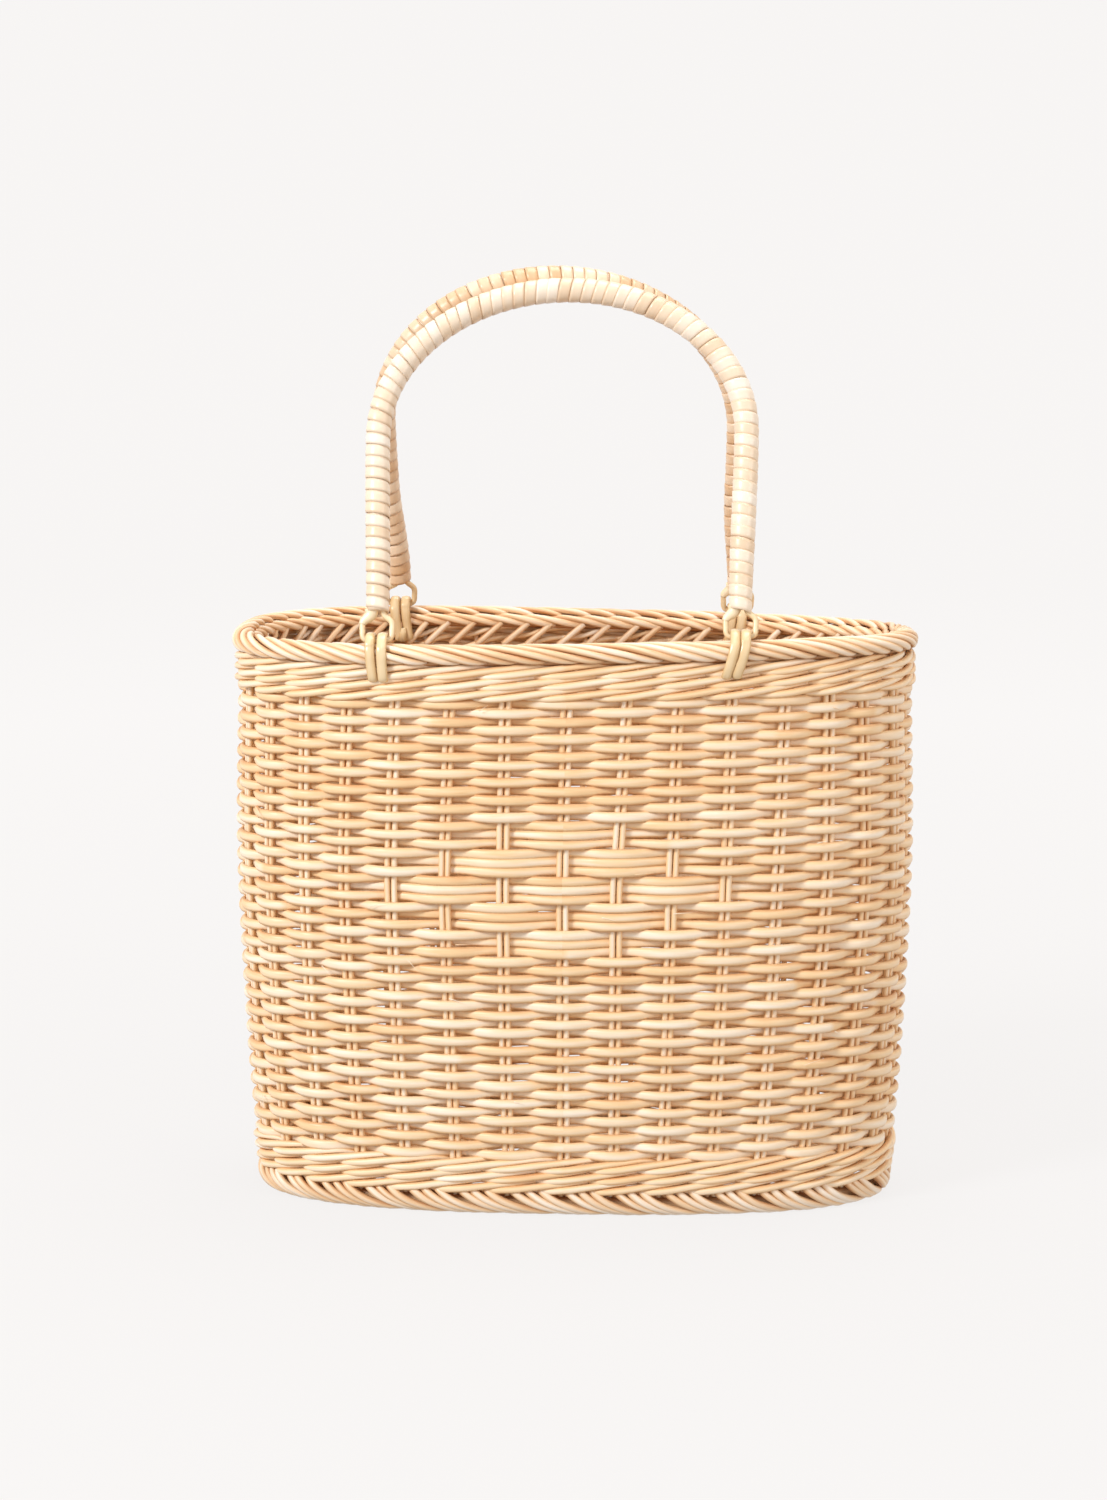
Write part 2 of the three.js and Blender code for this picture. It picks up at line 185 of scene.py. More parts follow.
# How far the pairs have strayed sideways, in shares of a pair, at three heights, for the pairs in view at
# the foot, the middle and the rim
STRAY_UP = [27, 157, 244]
STRAY = np.random.default_rng(11).normal(0, 0.035, (3, UPRIGHTS + 1))
STRAY[0, np.arange(-4, 1) % UPRIGHTS] = [0, 0, 0, 0.02, 0.04]
STRAY[0, np.arange(1, 9)] = [-0.04, -0.12, -0.15, -0.18, -0.18, -0.15, -0.1, 0]
STRAY[1, np.arange(-4, 5) % UPRIGHTS] = [-0.06, -0.085, -0.06, -0.022, 0.025, -0.04, -0.07, -0.08, -0.06]
STRAY[2, np.arange(-4, 5) % UPRIGHTS] = [0, 0, 0.026, 0.026, 0.095, 0.15, 0.055, 0.04, 0.1]
STRAY[:, UPRIGHTS] = STRAY[:, 0]


def through(table, count=60):
    """A smooth curve through the table's values, one even step after the other."""
    padded = np.concatenate([table[:1], table, table[-1:]])
    steps = []
    for i in range(len(table) - 1):
        a, b, c, d = padded[i : i + 4]
        t = np.arange(count) / count
        bend, twist = 2 * a - 5 * b + 4 * c - d, 3 * b - a - 3 * c + d
        steps.append(0.5 * (2 * b + (c - a) * t + bend * t**2 + twist * t**3))
    return np.append(np.concatenate(steps), table[-1])


def signed_power(value, power):
    return np.sign(value) * np.abs(value) ** power


side_up, side_length, side_depth = through(SIDE_UP), through(SIDE_LENGTH), through(SIDE_DEPTH)
turn = np.linspace(-math.pi / 2, 1.5 * math.pi, 9601)
edge_x = signed_power(np.cos(turn), 2 / OVAL_POWER)
edge_y = signed_power(np.sin(turn), 2 / OVAL_POWER)
edge_steps = np.hypot(np.diff(edge_x) * RIM_HALF_LENGTH, np.diff(edge_y) * RIM_HALF_DEPTH)
edge_along = np.append(0, np.cumsum(edge_steps))
first_share = FRONT_UPRIGHT_X / ((1 + CROWDING) * edge_along[-1])


def wall(upright, out, up):
    """Points of the wall and its outward directions, at a count of uprights from the front one.

    out is the distance from the middle of the wall, and up is the height."""
    upright, out, up = np.broadcast_arrays(*np.atleast_1d(upright, out, up))
    here = upright % UPRIGHTS
    pairs = np.arange(UPRIGHTS + 1)
    stray = sum(
        np.interp(here, pairs, STRAY[k]) * np.interp(up, STRAY_UP, np.eye(3)[k]) for k in range(3)
    )
    share = first_share + (upright + stray) / UPRIGHTS
    share = share + CROWDING / (4 * math.pi) * np.sin(4 * math.pi * share)
    along = (share % 1) * edge_along[-1]
    unit_x, unit_y = np.interp(along, edge_along, edge_x), np.interp(along, edge_along, edge_y)
    length = RIM_HALF_LENGTH * np.interp(up / BODY_HEIGHT, side_up, side_length)
    depth = RIM_HALF_DEPTH * np.interp(up / BODY_HEIGHT, side_up, side_depth)
    normal_x = signed_power(unit_x, OVAL_POWER - 1) / length
    normal_y = signed_power(unit_y, OVAL_POWER - 1) / depth
    normal = np.stack([normal_x, normal_y, np.zeros(len(up))], 1)
    normal /= np.linalg.norm(normal, axis=1)[:, None]
    points = np.stack([unit_x * length, unit_y * depth, up], 1) + normal * out[:, None]
    lift = -RIM_TWIST * points[:, 0] * points[:, 1] * points[:, 2]
    points[:, 2] += lift / (RIM_HALF_LENGTH * RIM_HALF_DEPTH * BODY_HEIGHT)
    return points, normal


class Bundle:
    """Rods and strips, laid one after another and bound into one piece."""

    def __init__(self, name):
        self.name, self.points, self.corners, self.sizes = name, [], [], []
        self.shades, self.uvs, self.count = [], [], 0

    def lay(self, path, out, half_out, half_side, sides=8, closed=False, shade=0.5, power=1.0):
        """One strand along a path in mm, with its outer side towards out.

        half_out and half_side are half its thickness and width, and a power under 1 flattens its sides."""
        count = len(path)
        ahead = np.roll(path, -1, 0) - np.roll(path, 1, 0) if closed else np.gradient(path, axis=0)
        ahead = ahead / np.linalg.norm(ahead, axis=1)[:, None]
        out = out - (out * ahead).sum(1)[:, None] * ahead
        out = out / np.linalg.norm(out, axis=1)[:, None]
        side = np.cross(ahead, out)
        thickness, width = (np.broadcast_to(v, count)[:, None, None] for v in (half_out, half_side))
        angle = (np.arange(sides) + 0.5) / sides * 2 * math.pi
        thick, wide = signed_power(np.cos(angle), power), signed_power(np.sin(angle), power)
        ring = path[:, None] + out[:, None] * thickness * thick[None, :, None]
        ring = ring + side[:, None] * width * wide[None, :, None]
        rows = np.arange(count if closed else count - 1)
        i, k = np.meshgrid(rows, np.arange(sides), indexing="ij")
        i2, k2 = (i + 1) % count, (k + 1) % sides
        quads = np.stack([i * sides + k, i * sides + k2, i2 * sides + k2, i2 * sides + k], -1)
        quads = quads.reshape(-1, 4)
        steps = np.append(0, np.cumsum(np.linalg.norm(np.diff(path, axis=0), axis=1)))
        last_step = np.linalg.norm(path[0] - path[-1]) if closed else 0.0
        length = np.append(steps, steps[-1] + last_step)
        offset = self.count * 0.0137 % 7
        u = np.stack([length[i], length[i], length[i + 1], length[i + 1]], -1) * MM + offset
        v = np.stack([k, k + 1, k + 1, k], -1) / sides
        self.corners.append((quads + self.count).ravel())
        self.sizes.append(np.full(len(quads), 4))
        self.uvs.append(np.stack([u.ravel(), v.ravel()], 1))
        if not closed:
            around = np.arange(sides)
            ends = np.concatenate([around[::-1], (count - 1) * sides + around])
            self.corners.append(ends + self.count)
            self.sizes.append(np.full(2, sides))
            end_u = np.repeat([offset, length[-1] * MM + offset], sides)
            self.uvs.append(np.stack([end_u, np.tile(around / sides, 2)], 1))
        self.points.append(ring.reshape(-1, 3) * MM)
        self.shades.append(np.repeat(np.broadcast_to(shade, count).astype(float), sides))
        self.count += count * sides

    def bind(self, material, body, nodes=()):
        """Makes the mesh, gives it its finish, and seats it on its body."""
        corners, sizes = np.concatenate(self.corners), np.concatenate(self.sizes)
        mesh = bpy.data.meshes.new(self.name)
        mesh.vertices.add(self.count)
        mesh.vertices.foreach_set("co", np.concatenate(self.points).ravel())
        mesh.loops.add(len(corners))
        mesh.loops.foreach_set("vertex_index", corners)
        mesh.polygons.add(len(sizes))
        mesh.polygons.foreach_set("loop_start", np.append(0, np.cumsum(sizes)[:-1]))
        mesh.polygons.foreach_set("use_smooth", sizes == 4)
        mesh.update(calc_edges=True)
        mesh.uv_layers.new(name="UVMap").data.foreach_set("uv", np.concatenate(self.uvs).ravel())
        tint = mesh.attributes.new("shade", "FLOAT", "POINT")
        tint.data.foreach_set("value", np.concatenate(self.shades))
        mesh.validate()
        piece = bpy.data.objects.new(self.name, mesh)
        bpy.context.scene.collection.objects.link(piece)
        mesh.materials.append(material)
        if nodes:
            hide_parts(*nodes)
        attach(piece, body)


def peeled_rod(name, dark, middle, pale, gloss=0.42, streaks=0.5, painted_shade_strength=0.16):
    """Peeled rod: streaks along the grain, a tone of its own, painted light on its faces and painted shade
    at its edges, a soft sheen.
    """
    rod = Finish(name)
    along = rod.node("ShaderNodeUVMap", {"uv_map": "UVMap"})
    tone = rod.node("ShaderNodeAttribute", {"attribute_name": "shade"}, out=2)
    grain_place = rod.node("ShaderNodeMapping", sockets={0: along, 3: (60.0, 9.0, 1.0)})
    grain = rod.node("ShaderNodeTexNoise", sockets={"Vector": grain_place, "Scale": 1.0, "Detail": 3.0})
    cloud_place = rod.node("ShaderNodeMapping", sockets={0: along, 3: (22.0, 1.2, 1.0)})
    cloud = rod.node("ShaderNodeTexNoise", sockets={"Vector": cloud_place, "Scale": 1.0, "Detail": 2.0})
    around = rod.node("ShaderNodeSeparateXYZ", sockets={0: along}, out=1)
    # Painted light and shade: the outer and inner faces of each strand are made paler, and its edges,
    # where strands meet and shade falls, are made darker.
    painted_face_light_edge_shade = (around * (4 * math.pi) + 0.6).cos()
    level = tone * 0.6 + (grain - 0.5) * streaks + (cloud - 0.5) * 0.6 + painted_face_light_edge_shade * painted_shade_strength + 0.2
    stops = [(0.0, dark), (0.5, middle), (1.0, pale)]
    colour = rod.node("ShaderNodeValToRGB", {"stops": stops}, {0: level})
    bump = rod.node("ShaderNodeBump", sockets={"Strength": 0.25, "Distance": 0.0003, "Height": grain})
    rod.set(base_color=colour, roughness=gloss + (grain - 0.5) * 0.25, normal=bump)
    return rod.material


woven_tones = srgb(210, 146, 88), srgb(243, 206, 158), srgb(251, 238, 221)
woven_rod = peeled_rod("woven_rod", *woven_tones, painted_shade_strength=0.2)
dice = np.random.default_rng(5)


def tones(count, low=0.2, high=0.8):
    return dice.uniform(low, high, count)


up = np.linspace(9, 257, 42)
uprights = Bundle("uprights")
for pair in range(UPRIGHTS):
    for side in (-1, 1):
        drift = np.interp(up, [9, 90, 170, 257], dice.normal(0, 0.006, 4)) + side * 0.001
        spot, normal = wall(pair + drift, 0, up)
        tangent = np.stack([-normal[:, 1], normal[:, 0], np.zeros(len(up))], 1)
        spot += tangent * side * UPRIGHT_APART / 2
        uprights.lay(spot, normal, ROD, ROD, shade=dice.uniform(0.35, 0.8))
uprights.bind(woven_rod, "basket")


# Weavers: 52 rows of soft flat rods, each in front of one pair and behind the next. On the front the
# middle row of every three changes sides, so that blocks of three build a stepped diamond.
ROWS, ROW_STEPS, ROW_UPS = 52, [0, 23, 38, 52], [27.25, 125.1, 188.4, 243.8]
DIAMOND_FIRST_ROW, DIAMOND_REACH = 23, 2
WEAVER_OUT, WEAVER_THICK, WEAVER_TALL, WEAVER_NARROW = 2.5, 1.3, 2.42, 2.08
PER_SPAN = 8


def in_front(row, pair):
    """1 where a weaver passes in front of a pair of uprights, -1 where it passes behind."""
    stake = (pair + UPRIGHTS // 2) % UPRIGHTS - UPRIGHTS // 2
    front = 1 if (row + pair) % 2 else -1
    block, place = divmod(row - DIAMOND_FIRST_ROW, 3)
    block -= DIAMOND_REACH
    if abs(block) <= DIAMOND_REACH and place == 1 and abs(stake) <= DIAMOND_REACH + 1 - abs(block):
        front = -front
    return front


def ease(t, flat=0.06):
    t = np.clip((t - flat) / (1 - 2 * flat), 0, 1)
    return 0.5 - 0.5 * np.cos(math.pi * t)


span = np.arange(PER_SPAN) / PER_SPAN
place = np.arange(UPRIGHTS * PER_SPAN) / PER_SPAN
for name, rows in (("weavers_low", range(0, 26)), ("weavers_high", range(26, ROWS))):
    weavers = Bundle(name)
    for row in rows:
        side = np.array([in_front(row, pair) for pair in range(UPRIGHTS + 1)])
        out = np.concatenate([side[p] + (side[p + 1] - side[p]) * ease(span) for p in range(UPRIGHTS)])
        sway = dice.normal(0, 0.17, 24)
        sway[-1] = sway[0]
        wave = np.interp(place, np.linspace(0, UPRIGHTS, 24), sway)
        row_up = np.interp(row + 0.5, ROW_STEPS, ROW_UPS)
        spot, normal = wall(place, WEAVER_OUT * out, row_up + wave)
        cuts = int(dice.integers(3, 6))
        start = dice.uniform(0, UPRIGHTS)
        length = np.floor(((place + start) % UPRIGHTS) / UPRIGHTS * cuts).astype(int)
        shade = tones(cuts)[length]
        swell = ease(np.clip((out + 0.85) / 1.6, 0, 1), 0) + 0.3 * np.clip(-out - 0.3, 0, 1)
        tall = WEAVER_NARROW + (WEAVER_TALL - WEAVER_NARROW) * swell
        tall = tall * (1 + dice.normal(0, 0.03)) * (1 + 0.03 * np.sin(place * 1.7 + row))
        weavers.lay(spot, normal, WEAVER_THICK, tall, closed=True, shade=shade)
    nodes = ["side_weave"] if name == "weavers_low" else []
    weavers.bind(woven_rod, "basket", nodes)


# Splinters: a few fine slivers of the weavers' own cane that have lifted at one end and stand off the
# rods of the front, as on any hand-woven basket.
splinters = Bundle("splinters")
for pair in dice.uniform(-7.5, 7.5, 22):
    length, lift = dice.uniform(4, 11), dice.uniform(0.2, 2.2)
    t = np.linspace(0, 1, 5)
    slant = dice.uniform(-0.5, 0.5) if lift < 1.2 else dice.uniform(-2, 2)
    height = dice.uniform(32, 240)
    spot, normal = wall(pair + t * length / 27, 3.9 + lift * t**2, height + slant * t * length / 2)
    splinters.lay(spot, normal, 0.13 * (1.2 - t), 0.2 * (1.2 - t), 6, shade=dice.uniform(0.6, 1.2))
splinters.bind(woven_rod, "basket")


# Wales: bands of three-rod twining, in front of two pairs and behind one, that lock the uprights at the
# foot and under the rim. Each stroke starts outermost and low, and rises to tuck in behind the next one.
WALE_ROD = 1.66
STROKE_PHASE = [0, 0.22, 0.6, 1.1, 1.5, 1.85, 2.1, 2.3, 2.5, 2.7, 2.88, 3]
STROKE_OUT = [0.8, 3.0, 3.7, 3.3, 2.5, 1.3, -0.4, -2.1, -2.7, -2.3, -0.9, 0.8]
STROKE_RISE = [-0.46, -0.44, -0.26, 0.1, 0.34, 0.5, 0.52, 0.36, 0, -0.34, -0.44, -0.46]
SWELL_PHASE = [0, 0.25, 0.6, 1.6, 2.2, 3]
SWELL = [0.8, 1.02, 1.06, 0.96, 0.8, 0.8]


def wale(name, bottom, rows, height, node):
    band = Bundle(name)
    per_pair = 12
    step = np.arange(3 * UPRIGHTS * per_pair) / per_pair
    soft = np.array([0.1, 0.24, 0.32, 0.24, 0.1])
    for row in range(rows):
        phase = (step + row + 0.5) % 3
        out = np.interp(phase, STROKE_PHASE, STROKE_OUT)
        rise = np.interp(phase, STROKE_PHASE, STROKE_RISE)
        out, rise = (np.convolve(np.concatenate([v[-2:], v, v[:2]]), soft, "valid") for v in (out, rise))
        sway = dice.normal(0, 0.12, 60)
        sway[-1] = sway[0]
        wobble = np.interp(step, np.linspace(0, step[-1] + 1 / per_pair, 60), sway)
        spot, normal = wall(step, out, bottom + (row + 0.5) * height + rise * height + wobble)
        stroke = np.floor((step + row + 0.5) / 3).astype(int)
        shade = 0.5 * tones(12)[np.floor(step / (3 * UPRIGHTS) * 12).astype(int)]
        shade = shade + 0.5 * tones(stroke[-1] + 1)[stroke]
        thick = WALE_ROD * np.interp(phase, SWELL_PHASE, SWELL)
        band.lay(spot, normal, thick * 0.95, thick, closed=True, shade=shade)
    band.bind(woven_rod, "basket", [node])


wale("lower_wale_rods", 11.5, 3, 5.15, "lower_wale")
wale("upper_wale_rods", 244.1, 3, 5.0, "upper_wale")


# Borders: the uprights' long ends, rolled over each other into a rope round the rim and round the foot.
# Every rod leans inside the wall, slants out over the rope and tucks in under the next ones. Inside the
# rim the rods' crossing shows as a second, lower roll, and at the foot they come out in threes.
def roll_over(rope, firsts, middle, half, rod, reach, turned, steep=1.0, sink=0.06, shades=(0.25, 0.85)):
    """Rods over a rope. middle and half are its place and half size, both as (out, up).

    turned holds the angles round the rope, in degrees, at which a rod begins and ends."""
    for first in firsts:
        t = np.linspace(0, 1, 30)
        angle = np.radians(turned[0] + (turned[1] - turned[0]) * t)
        tuck_in, tuck_under = 1 - np.clip(t / 0.13, 0, 1), 1 - np.clip((1 - t) / 0.13, 0, 1)
        tuck = 1 - 0.4 * tuck_in**2 - 0.34 * tuck_under**2
        layer = tuck * (1 + dice.normal(0, 0.025)) * (1 + sink * (0.5 - t))
        size = rod * dice.uniform(0.92, 1.06) * np.interp(t, [0, 0.08, 0.85, 1], [0.85, 1, 1, 0.75])
        out = middle[0] + (half[0] - rod) * layer * np.cos(angle)
        lift = np.maximum(middle[1] + (half[1] - rod) * layer * np.sin(angle), size)
        spot, normal = wall(first + dice.normal(0, 0.02) + reach * t**steep, out, lift)
        outward = normal * np.cos(angle)[:, None] + np.array([0, 0, 1.0]) * np.sin(angle)[:, None]
        rope.lay(spot, outward, size * 0.92, size, shade=dice.uniform(*shades))


border_tones = srgb(190, 126, 72), srgb(233, 195, 151), srgb(248, 233, 216)
border_rod = peeled_rod("border_rod", *border_tones, painted_shade_strength=0.26)
ROUND = np.arange(UPRIGHTS * 6) / 6
pairs = np.arange(UPRIGHTS)
rim_rods = Bundle("rim_rods")
for first in np.append(pairs + 0.05, pairs + 0.52):
    t = np.linspace(0, 1, 10)
    in_out = np.interp(t, [0, 0.25, 0.75, 1], [-3.0, -4.7, -5.2, -4.6])
    spot, normal = wall(first + dice.normal(0, 0.03) - 0.46 * t, in_out, 251.0 + 10.8 * t)
    rim_rods.lay(spot, normal, 1.45, 1.6, shade=dice.uniform(0.2, 0.6))
inner_starts = np.append(pairs + 0.1, pairs + 0.58)
roll_over(rim_rods, inner_starts, (-3.0, 262.7), (3.8, 3.6), 1.7, 1.1, (236, 70), shades=(0.15, 0.6))
outer_starts = np.append(pairs, pairs + 0.46)
roll_over(rim_rods, outer_starts, (0.2, 263.7), (6.4, 5.6), 1.68, 2.2, (142, -52), shades=(0.2, 0.8))
# A ring inside the rope, in a tone below the darkest rod: painted shade in the gaps between the rope and
# the upper wale.
spot, normal = wall(ROUND, -0.4, 260.6)
rim_rods.lay(spot, normal, 2.2, 1.6, closed=True, shade=-0.2)
rim_rods.bind(border_rod, "basket", ["rim_border"])
foot_rods = Bundle("foot_rods")
# The inner roll takes the darkest tones: painted shade for the hollow under the base that shows through
# the gaps between the rods.
inner_starts = np.append(pairs, pairs + 0.5)
roll_over(foot_rods, inner_starts, (-2.4, 6.0), (3.8, 5.9), 1.9, -1.2, (120, 250), shades=(0, 0.2))
outer_starts = np.concatenate([pairs, pairs + 0.25, pairs + 0.51])
roll_over(foot_rods, outer_starts, (-0.3, 6.1), (6.2, 7.4), 1.8, 1.9, (128, -100), 2.6, 0.2)
# The core ring, in the darkest tone, is painted shade in the same gaps.
spot, normal = wall(ROUND, -1.4, 4.6)
foot_rods.lay(spot, normal, 1.6, 3.4, closed=True, shade=0)
foot_rods.bind(border_rod, "basket", ["foot_border"])


# Base: a plain oval of peeled weavers, in rings over spokes that run in from the uprights. It is let in
# just above the foot, inside the lower wale. The photograph doesn't show it.
BASE_LENGTH, BASE_DEPTH, BASE_UP = 142.8, 52.0, 13.7
BASE_RINGS, FIRST_INSET, RING_APART, BASE_WAVE = 12, 2.4, 4.1, 0.9
SPINE_HALF_LENGTH = 92
base = Bundle("base_rods")
for ring in range(BASE_RINGS):
    inset = FIRST_INSET + ring * RING_APART
    spot, normal = wall(ROUND, 0, BASE_UP)
    spot[:, 0] *= (BASE_LENGTH - inset) / np.abs(spot[:, 0]).max()
    spot[:, 1] *= (BASE_DEPTH - inset) / np.abs(spot[:, 1]).max()
    spot[:, 2] = BASE_UP + BASE_WAVE * np.cos(math.pi * (ROUND + ring))
    upward = np.tile([0, 0, 1.0], (len(ROUND), 1))
    base.lay(spot, upward, 1.2, 2.2, closed=True, shade=tones(1)[0])
for pair in range(UPRIGHTS):
    outer = wall(pair, 0, BASE_UP)[0][0] * [0.95, 0.9, 1]
    outer[2] = BASE_UP
    inner_x = np.clip(outer[0], -SPINE_HALF_LENGTH, SPINE_HALF_LENGTH) * 0.98
    inner = np.array([inner_x, outer[1] * 0.03, BASE_UP])
    base.lay(np.linspace(outer, inner, 8), np.tile([0, 0, 1.0], (8, 1)), 1.0, 1.5)
base.bind(woven_rod, "basket", ["base"])


# Ties: two turns of glossy half-round cane side by side at each end of each handle, round the rim border
# and through the wall above the second wale row. They hold the handles' eyes down.
tie_tones = srgb(186, 140, 84), srgb(224, 192, 144), srgb(244, 224, 188)
tie_cane = peeled_rod("tie_cane", *tie_tones, gloss=0.24, streaks=0.3, painted_shade_strength=0.2)
EYE_HALF_SPAN, HANDLE_SHIFT, EYE_OUT, EYE_ROD = 82.0, -5.0, -1.5, 1.35
TIE_ENTRY, BORDER_MIDDLE = 254.1, 263.5
TIE_TURN_APART, TIE_HALF_WIDTH, TIE_HALF_THICK = 2.35, 2.3, 1.0


def smooth_path(corners, count, closed=False):
    """A curve through the corners, at even distances."""
    corners = np.array(corners, float)
    before, after = (corners[-1:], corners[:2]) if closed else (corners[:1], corners[-1:])
    padded = np.vstack([before, corners, after])
    fine = []
    for i in range(len(padded) - 3):
        a, b, c, d = padded[i : i + 4]
        t = (np.arange(24) / 24)[:, None]
        bend, twist = 2 * a - 5 * b + 4 * c - d, 3 * b - a - 3 * c + d
        fine.append(0.5 * (2 * b + (c - a) * t + bend * t**2 + twist * t**3))
    fine = np.vstack([*fine, corners[:1] if closed else corners[-1:]])
    steps = np.append(0, np.cumsum(np.linalg.norm(np.diff(fine, axis=0), axis=1)))
    at = np.linspace(0, steps[-1], count, endpoint=not closed)
    return np.stack([np.interp(at, steps, fine[:, k]) for k in range(fine.shape[1])], 1)


def seat(side, end):
    """Where a tie sits on the rim, as a point of the unit oval."""
    unit_x = (HANDLE_SHIFT + end * EYE_HALF_SPAN) / RIM_HALF_LENGTH
    unit_y = side * (1 - abs(unit_x) ** OVAL_POWER) ** (1 / OVAL_POWER)
    return unit_x, unit_y


def seat_point(side, end, up):
    unit_x, unit_y = seat(side, end)
    length = np.interp(up / BODY_HEIGHT, side_up, side_length)
    depth = np.interp(up / BODY_HEIGHT, side_up, side_depth)
    return np.stack([unit_x * RIM_HALF_LENGTH * length, unit_y * RIM_HALF_DEPTH * depth, up], -1)


def seat_lift(side, end):
    spot = seat_point(side, end, np.array(BODY_HEIGHT))
    return -RIM_TWIST * spot[0] * spot[1] / (RIM_HALF_LENGTH * RIM_HALF_DEPTH)


def seat_frame(side):
    """The line of a handle's two eyes, and the way out across it."""
    ends = [seat_point(side, end, np.array(BODY_HEIGHT)) for end in (-1, 1)]
    bar = ends[1] - ends[0]
    bar /= np.linalg.norm(bar)
    return bar, np.array([-side * bar[1], side * bar[0], 0])


# Once round the rim, as (out, up)
TIE_OUTSIDE = [(4.0, 253.0), (5.9, 254.0), (6.7, 257.2), (6.9, 260.8), (7.0, 264.4), (5.9, 268.5)]
TIE_CREST = [(3.1, 271.9), (0.0, 273.0), (-3.2, 272.8)]
TIE_INSIDE = [(-6.3, 269.6), (-7.1, 264.6), (-6.6, 260.4), (-6.2, 257.2), (-5.6, 254.0)]
TIE_PATH = [*TIE_OUTSIDE, *TIE_CREST, *TIE_INSIDE, (-4.0, 253.1), (0, 253.1)]
# Name, side, end, how far it slants towards the middle below, and how far its turns part above
TIES = (
    ("tie_front_left", -1, -1, 1.2, 0.35),
    ("tie_front_right", -1, 1, 4.0, 0.0),
    ("tie_back_left", 1, -1, 1.8, 0.2),
    ("tie_back_right", 1, 1, 2.4, 0.1),
)
for name, side, end, slant, gap in TIES:
    bar, outward = seat_frame(side)
    unit_x, unit_y = seat(side, end)
    run_x = -signed_power(unit_y, OVAL_POWER - 1) / RIM_HALF_DEPTH
    run_y = signed_power(unit_x, OVAL_POWER - 1) / RIM_HALF_LENGTH
    across_wall = np.array([run_x, run_y, 0])
    across_wall /= across_wall @ bar
    wraps = Bundle(name + "_cane")
    for turn_side in (-1, 1):
        path = smooth_path(TIE_PATH, 72, closed=True)
        spot = seat_point(side, end, path[:, 1])
        below = np.clip((BODY_HEIGHT - path[:, 1]) / (BODY_HEIGHT - TIE_ENTRY), 0, 1)
        shift = turn_side * (TIE_TURN_APART + gap * (1 - below)) - end * slant * below**1.4
        along = np.where((path[:, 1] > BODY_HEIGHT)[:, None], bar, across_wall)
        spot = spot + path[:, :1] * outward + shift[:, None] * along
        spot[:, 2] += seat_lift(side, end)
        away = (path[:, :1] - EYE_OUT) * outward + (path[:, 1:] - BORDER_MIDDLE) * np.array([0, 0, 1.0])
        tone = dice.uniform(0.4, 0.7)
        wraps.lay(spot, away, TIE_HALF_THICK, TIE_HALF_WIDTH, 14, closed=True, shade=tone)
    stub = np.array([[-6.7, 259.0], [-7.0, 256.0], [-6.5, 252.4]])
    spot = seat_point(side, end, stub[:, 1]) + stub[:, :1] * outward + 1.2 * bar
    spot[:, 2] += seat_lift(side, end)
    wraps.lay(spot, np.tile(-outward, (3, 1)), 0.6, 2.0, 10, shade=0.4)
    wraps.bind(tie_cane, "basket", [name])


# Handles: a thick bent cane, wound closely with a pale strip of peel whose edge laps over the turn
# before. Its two ends run out as bare round canes, bent into eyes that the ties hold on the rim.
peel_tones = srgb(216, 176, 134), srgb(238, 216, 190), srgb(249, 240, 229)
peel = peeled_rod("pale_peel", *peel_tones, gloss=0.34, streaks=0.3, painted_shade_strength=0.08)
eye_tones = srgb(200, 156, 104), srgb(231, 202, 155), srgb(247, 231, 200)
eye_cane = peeled_rod("eye_cane", *eye_tones, gloss=0.3, streaks=0.3, painted_shade_strength=0.18)
HALF_WIDTH, LEG_TOP, BEND_SHARE = 84.0, 95.0, 0.6
THICK, SOLID_THICK, GAP = 5.5, 5.8, 0.3
FRONT_TOP, BACK_TOP, BACK_SWAY = 163.0, 168.0, 3.0
EYE_LONG, EYE_WIDE, EYE_NECK = 12.8, 6.7, 3.2
# The wound strip: its pitch, its points in a turn, its half thickness and half width, and its lap
WIND, PER_TURN, STRIP_THICK, STRIP_WIDE, LAP = 5.35, 22, 0.42, 2.8, 0.075


def arch(t, height, lean, sway):
    """Middle line of a handle in its own plane: across, up. lean keeps it plumb over its tilted eyes."""
    side, reach = np.sign(t - 0.5), np.abs(2 * t - 1)
    angle = np.clip(reach / BEND_SHARE, 0, 1) * math.pi / 2
    down = np.clip((reach - BEND_SHARE) / (1 - BEND_SHARE), 0, 1)
    toe = (HALF_WIDTH - EYE_HALF_SPAN) * down * down * (3 - 2 * down)
    bend = reach <= BEND_SHARE
    across = side * np.where(bend, HALF_WIDTH * np.sin(angle), HALF_WIDTH - toe)
    leg = LEG_TOP + (EYE_LONG + GAP - LEG_TOP) * down
    rise = np.where(bend, LEG_TOP + (height - LEG_TOP) * np.cos(angle), leg)
    above = rise - EYE_LONG - GAP
    return np.stack([across + lean * above - sway * ease(above / 50, 0), rise], 1)


def even(path, count):
    steps = np.append(0, np.cumsum(np.linalg.norm(np.diff(path, axis=0), axis=1)))
    at = np.linspace(0, steps[-1], count)
    return np.stack([np.interp(at, steps, path[:, k]) for k in range(path.shape[1])], 1), steps[-1]


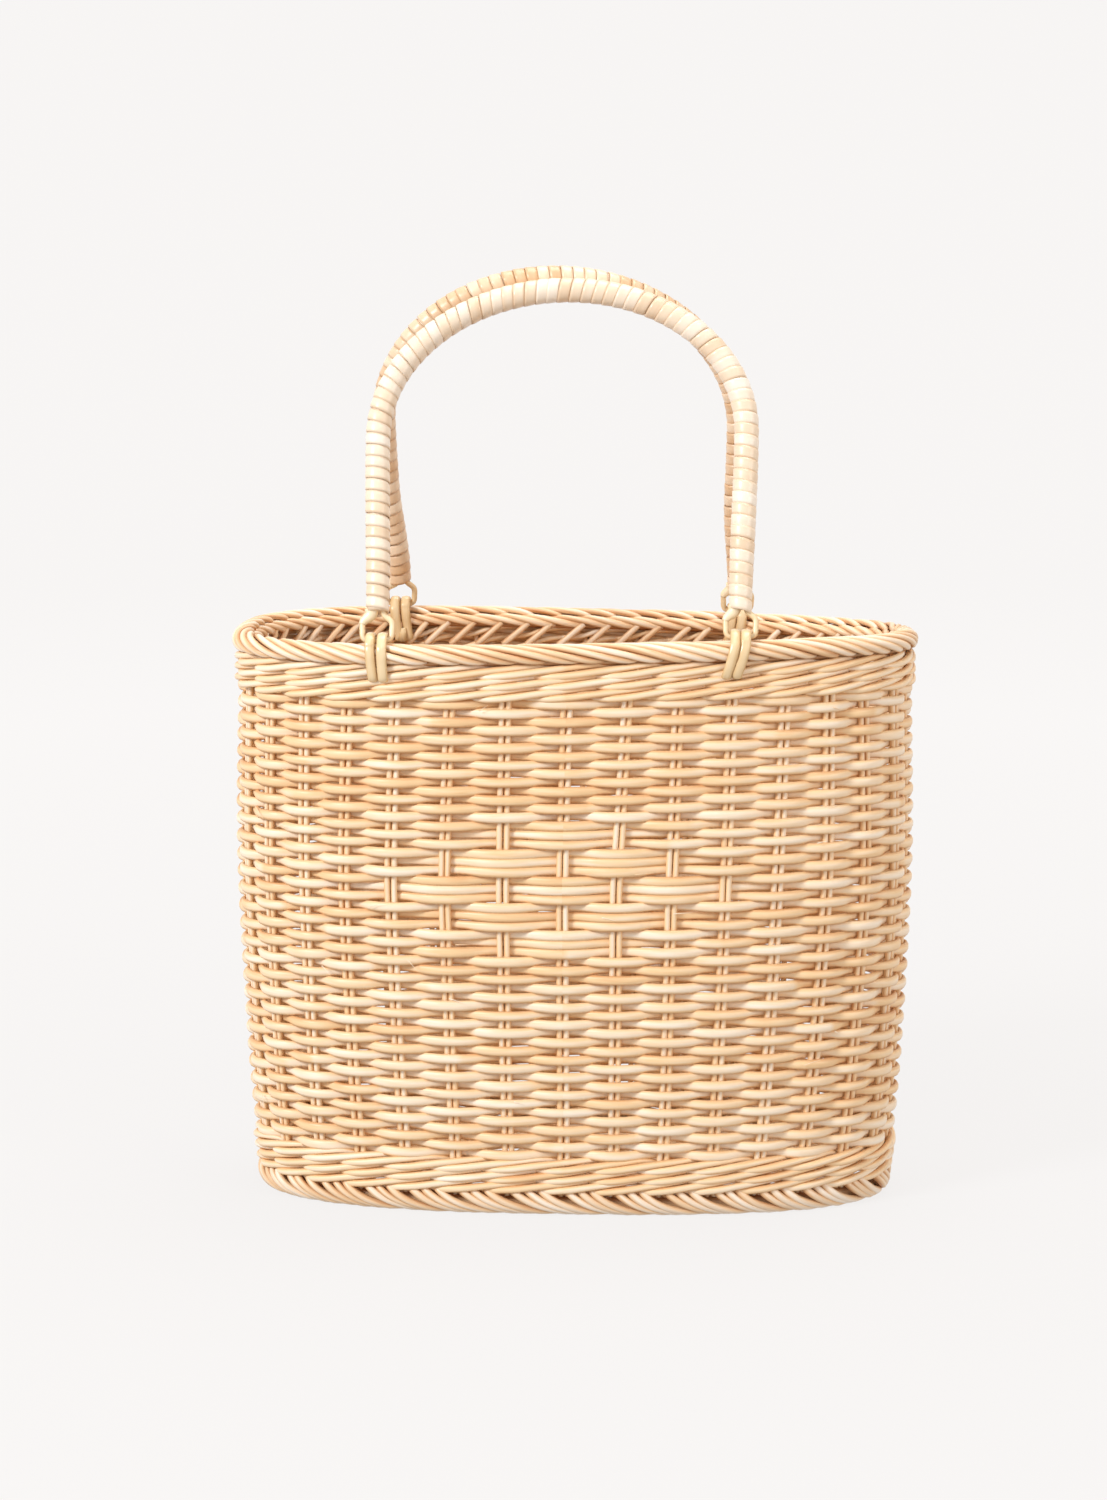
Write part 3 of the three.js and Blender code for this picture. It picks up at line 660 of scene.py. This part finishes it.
# Name, side, height, sway to the left, and the darkest and palest tone of its turns
HANDLES = (
    ("front", -1, FRONT_TOP, 0.0, 0.2, 0.85),
    ("back", 1, BACK_TOP, BACK_SWAY, -0.4, 0.3),
)
for label, side, height, sway, low, high in HANDLES:
    joint = next(j for j in frame["joints"] if j["child"] == f"{label}_handle")
    hinge = np.array(joint["pos_m"]) / MM
    bar, outward = seat_frame(side)
    roll = math.atan2(seat_lift(side, 1) - seat_lift(side, -1), 2 * EYE_HALF_SPAN)
    apart = math.sqrt((2 * (SOLID_THICK + GAP)) ** 2 - (BACK_TOP - FRONT_TOP) ** 2) / 2
    tilt = math.asin((abs(hinge[1]) - apart) / height)
    across = bar * math.cos(roll) + np.array([0, 0, 1.0]) * math.sin(roll)
    upright = np.cross(across, np.cross([0, 0, 1.0], across))
    upright /= np.linalg.norm(upright)
    rising = upright * math.cos(tilt) - outward * math.sin(tilt)
    facing = np.cross(rising, across)

    def place_on(flat):
        return hinge + flat[:, :1] * across + flat[:, 1:2] * rising

    middle, length = even(arch(np.linspace(0, 1, 1200), height, math.tan(roll), sway), 900)
    turns = int(round(length / WIND))
    at = np.linspace(0, 899, turns * PER_TURN + 1)
    line = np.stack([np.interp(at, np.arange(900), middle[:, k]) for k in range(2)], 1)
    ahead = np.gradient(line, axis=0)
    ahead /= np.linalg.norm(ahead, axis=1)[:, None]
    round_angle = np.arange(len(at)) / PER_TURN * 2 * math.pi * -side
    inward = np.stack([-ahead[:, 1], ahead[:, 0]], 1)
    radial = inward[:, :1] * across + inward[:, 1:] * rising
    radial = radial * np.cos(round_angle)[:, None] + facing * np.sin(round_angle)[:, None]
    forward = ahead[:, :1] * across + ahead[:, 1:] * rising
    winding = Bundle(f"handle_{label}_winding")
    drift = np.interp(np.arange(len(at)), np.linspace(0, len(at), 60), dice.normal(0, 0.32, 60))
    tone = dice.uniform(low, high, turns + 1)[np.arange(len(at)) // PER_TURN]
    core = place_on(line)
    radius = THICK - 0.3 + np.interp(at, [0, 60, 840, 899], [-0.5, 0, 0, -0.5])
    edge_lap = radial + LAP * forward
    strip = core + radial * radius[:, None] + forward * drift[:, None]
    winding.lay(strip, edge_lap, STRIP_THICK, STRIP_WIDE, shade=tone, power=0.6)
    winding.bind(peel, f"{label}_handle", [f"handle_{label}_wrap"])

    # On the front handle the core's tone is darker than most turns: painted shade in the thin lines
    # between them.
    core_rod = Bundle(f"handle_{label}_core")
    inner, _ = even(middle, 160)
    core_rod.lay(place_on(inner), np.tile(facing, (160, 1)), THICK - 0.75, THICK - 0.75, 16, shade=0.3)
    core_rod.bind(peel, f"{label}_handle")

    for end, word in ((-1, "left"), (1, "right")):
        half = [
            (EYE_NECK - 0.6, EYE_LONG + 1.0),
            (EYE_NECK, 0.88 * EYE_LONG),
            (0.97 * EYE_WIDE, 0.63 * EYE_LONG),
            (EYE_WIDE, 0.3 * EYE_LONG),
            (0.95 * EYE_WIDE, 0.11 * EYE_LONG),
            (0.72 * EYE_WIDE, 0.0),
        ]
        loop = [*half, (0, 0), *[(-x, z) for x, z in reversed(half)]]
        flat = smooth_path([(end * EYE_HALF_SPAN + x, z) for x, z in loop], 72)
        eye_ring = Bundle(f"eye_{label}_{word}")
        facing_all = np.tile(facing, (72, 1))
        eye_ring.lay(place_on(flat), facing_all, EYE_ROD, EYE_ROD, 12, shade=dice.uniform(0.45, 0.8))
        cone, deep, wide = flat[-15:], np.linspace(1.6, 2.7, 15), np.linspace(1.6, 3.3, 15)
        eye_ring.lay(place_on(cone), facing_all[:15], deep, wide, 12, shade=0.95)
        eye_ring.bind(eye_cane, f"{label}_handle", [f"handle_{label}_eye_{word}"])
